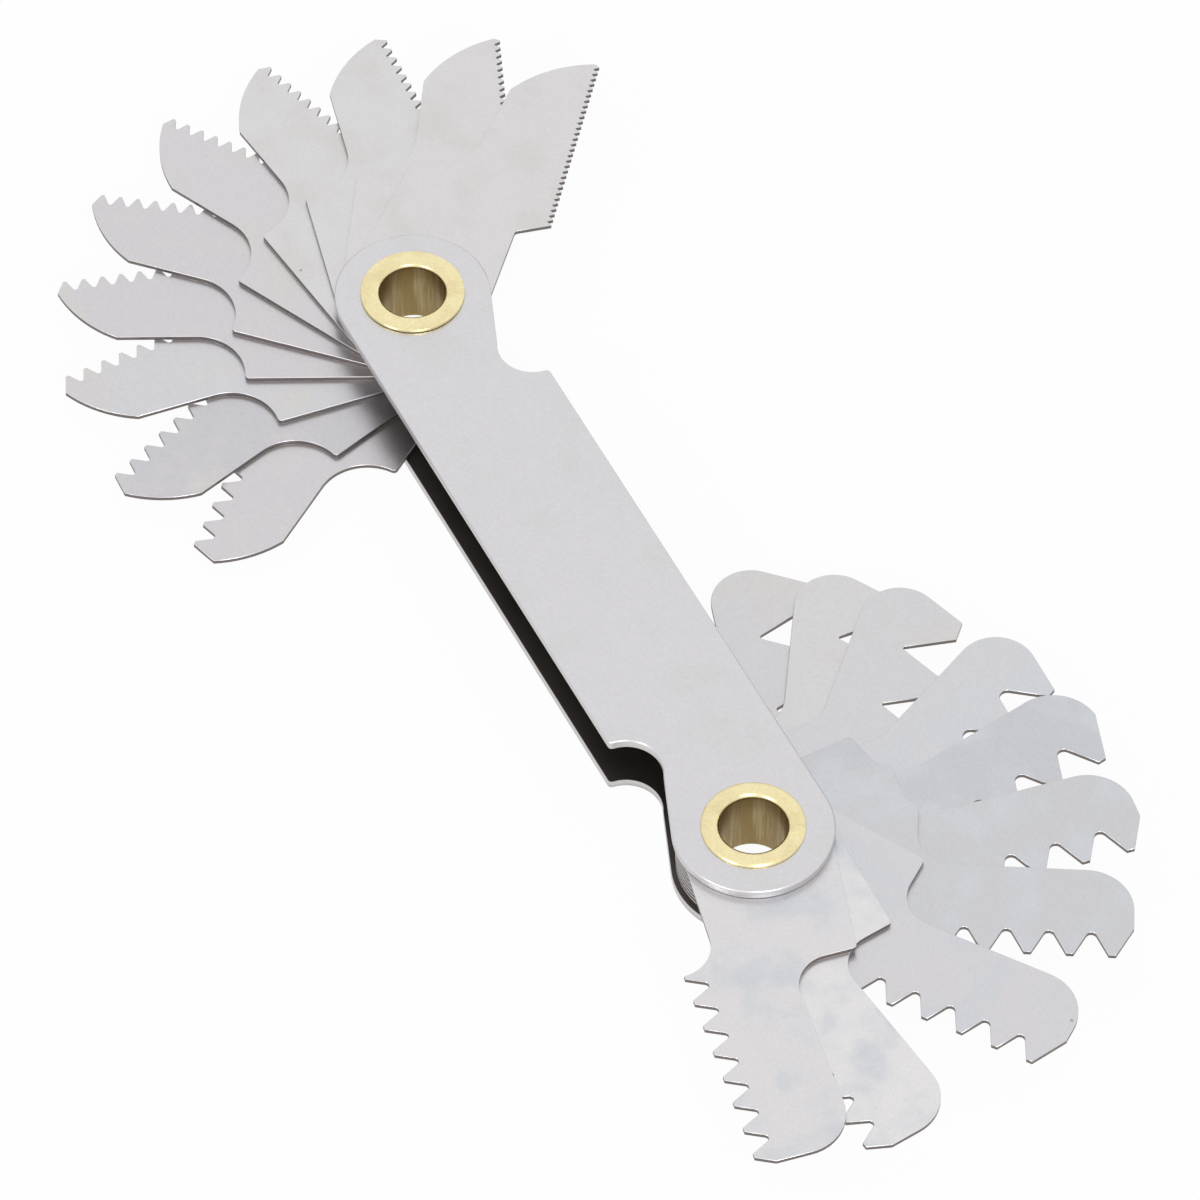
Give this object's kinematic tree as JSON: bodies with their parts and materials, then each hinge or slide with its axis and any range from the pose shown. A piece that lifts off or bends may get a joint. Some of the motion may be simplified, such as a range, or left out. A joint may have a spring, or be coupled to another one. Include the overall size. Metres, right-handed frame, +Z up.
{
  "type": "thread pitch gauge",
  "caption": "Folding thread pitch gauge: toothed steel leaves fan out from both ends of a flat two-plate case and turn on hollow brass eyelets.",
  "frame": {"origin": "middle of the bottom cover plate's underside, half way between the two eyelets", "axes": "+Z up through the case, +X from the fine-leaf eyelet to the coarse-leaf eyelet, +Y across the case"},
  "size_m": [0.1036, 0.0506, 0.0059],
  "materials": {
    "plate_steel": "satin, fine brushed",
    "leaf_steel": "satin, rolled strip",
    "eyelet_brass": "pale, lightly polished"
  },
  "bodies": {
    "case": {"bottom_cover_plate": "plate_steel", "top_cover_plate": "plate_steel", "fine_end_eyelet": "eyelet_brass", "coarse_end_eyelet": "eyelet_brass"},
    "leaf_48_tpi": {"leaf_48_tpi": "leaf_steel"},
    "leaf_40_tpi": {"leaf_40_tpi": "leaf_steel"},
    "leaf_28_tpi": {"leaf_28_tpi": "leaf_steel"},
    "leaf_24_tpi": {"leaf_24_tpi": "leaf_steel"},
    "leaf_22_tpi": {"leaf_22_tpi": "leaf_steel"},
    "leaf_20_tpi": {"leaf_20_tpi": "leaf_steel"},
    "leaf_19_tpi": {"leaf_19_tpi": "leaf_steel"},
    "leaf_18_tpi": {"leaf_18_tpi": "leaf_steel"},
    "leaf_16_tpi": {"leaf_16_tpi": "leaf_steel"},
    "leaf_14_tpi": {"leaf_14_tpi": "leaf_steel"},
    "leaf_4_tpi": {"leaf_4_tpi": "leaf_steel"},
    "leaf_4_5_tpi": {"leaf_4_5_tpi": "leaf_steel"},
    "leaf_5_tpi": {"leaf_5_tpi": "leaf_steel"},
    "leaf_6_tpi": {"leaf_6_tpi": "leaf_steel"},
    "leaf_7_tpi": {"leaf_7_tpi": "leaf_steel"},
    "leaf_8_tpi": {"leaf_8_tpi": "leaf_steel"},
    "leaf_9_tpi": {"leaf_9_tpi": "leaf_steel"},
    "leaf_10_tpi": {"leaf_10_tpi": "leaf_steel"},
    "leaf_11_tpi": {"leaf_11_tpi": "leaf_steel"},
    "leaf_12_tpi": {"leaf_12_tpi": "leaf_steel"}
  },
  "joints": [
    {"name": "leaf_48_tpi_hinge", "type": "hinge", "parent": "case", "child": "leaf_48_tpi", "pos_m": [-0.026, 0, 0.00256], "axis": [0, 0, 1], "continuous": true},
    {"name": "leaf_40_tpi_hinge", "type": "hinge", "parent": "case", "child": "leaf_40_tpi", "pos_m": [-0.026, 0, 0.00256], "axis": [0, 0, 1], "continuous": true},
    {"name": "leaf_28_tpi_hinge", "type": "hinge", "parent": "case", "child": "leaf_28_tpi", "pos_m": [-0.026, 0, 0.00256], "axis": [0, 0, 1], "continuous": true},
    {"name": "leaf_24_tpi_hinge", "type": "hinge", "parent": "case", "child": "leaf_24_tpi", "pos_m": [-0.026, 0, 0.00256], "axis": [0, 0, 1], "continuous": true},
    {"name": "leaf_22_tpi_hinge", "type": "hinge", "parent": "case", "child": "leaf_22_tpi", "pos_m": [-0.026, 0, 0.00256], "axis": [0, 0, 1], "continuous": true},
    {"name": "leaf_20_tpi_hinge", "type": "hinge", "parent": "case", "child": "leaf_20_tpi", "pos_m": [-0.026, 0, 0.00256], "axis": [0, 0, 1], "continuous": true},
    {"name": "leaf_19_tpi_hinge", "type": "hinge", "parent": "case", "child": "leaf_19_tpi", "pos_m": [-0.026, 0, 0.00256], "axis": [0, 0, 1], "continuous": true},
    {"name": "leaf_18_tpi_hinge", "type": "hinge", "parent": "case", "child": "leaf_18_tpi", "pos_m": [-0.026, 0, 0.00256], "axis": [0, 0, 1], "continuous": true},
    {"name": "leaf_16_tpi_hinge", "type": "hinge", "parent": "case", "child": "leaf_16_tpi", "pos_m": [-0.026, 0, 0.00256], "axis": [0, 0, 1], "continuous": true},
    {"name": "leaf_14_tpi_hinge", "type": "hinge", "parent": "case", "child": "leaf_14_tpi", "pos_m": [-0.026, 0, 0.00256], "axis": [0, 0, 1], "continuous": true},
    {"name": "leaf_4_tpi_hinge", "type": "hinge", "parent": "case", "child": "leaf_4_tpi", "pos_m": [0.026, 0, 0.00256], "axis": [0, 0, 1], "continuous": true},
    {"name": "leaf_4_5_tpi_hinge", "type": "hinge", "parent": "case", "child": "leaf_4_5_tpi", "pos_m": [0.026, 0, 0.00256], "axis": [0, 0, 1], "continuous": true},
    {"name": "leaf_5_tpi_hinge", "type": "hinge", "parent": "case", "child": "leaf_5_tpi", "pos_m": [0.026, 0, 0.00256], "axis": [0, 0, 1], "continuous": true},
    {"name": "leaf_6_tpi_hinge", "type": "hinge", "parent": "case", "child": "leaf_6_tpi", "pos_m": [0.026, 0, 0.00256], "axis": [0, 0, 1], "continuous": true},
    {"name": "leaf_7_tpi_hinge", "type": "hinge", "parent": "case", "child": "leaf_7_tpi", "pos_m": [0.026, 0, 0.00256], "axis": [0, 0, 1], "continuous": true},
    {"name": "leaf_8_tpi_hinge", "type": "hinge", "parent": "case", "child": "leaf_8_tpi", "pos_m": [0.026, 0, 0.00256], "axis": [0, 0, 1], "continuous": true},
    {"name": "leaf_9_tpi_hinge", "type": "hinge", "parent": "case", "child": "leaf_9_tpi", "pos_m": [0.026, 0, 0.00256], "axis": [0, 0, 1], "continuous": true},
    {"name": "leaf_10_tpi_hinge", "type": "hinge", "parent": "case", "child": "leaf_10_tpi", "pos_m": [0.026, 0, 0.00256], "axis": [0, 0, 1], "continuous": true},
    {"name": "leaf_11_tpi_hinge", "type": "hinge", "parent": "case", "child": "leaf_11_tpi", "pos_m": [0.026, 0, 0.00256], "axis": [0, 0, 1], "continuous": true},
    {"name": "leaf_12_tpi_hinge", "type": "hinge", "parent": "case", "child": "leaf_12_tpi", "pos_m": [0.026, 0, 0.00256], "axis": [0, 0, 1], "continuous": true}
  ]
}
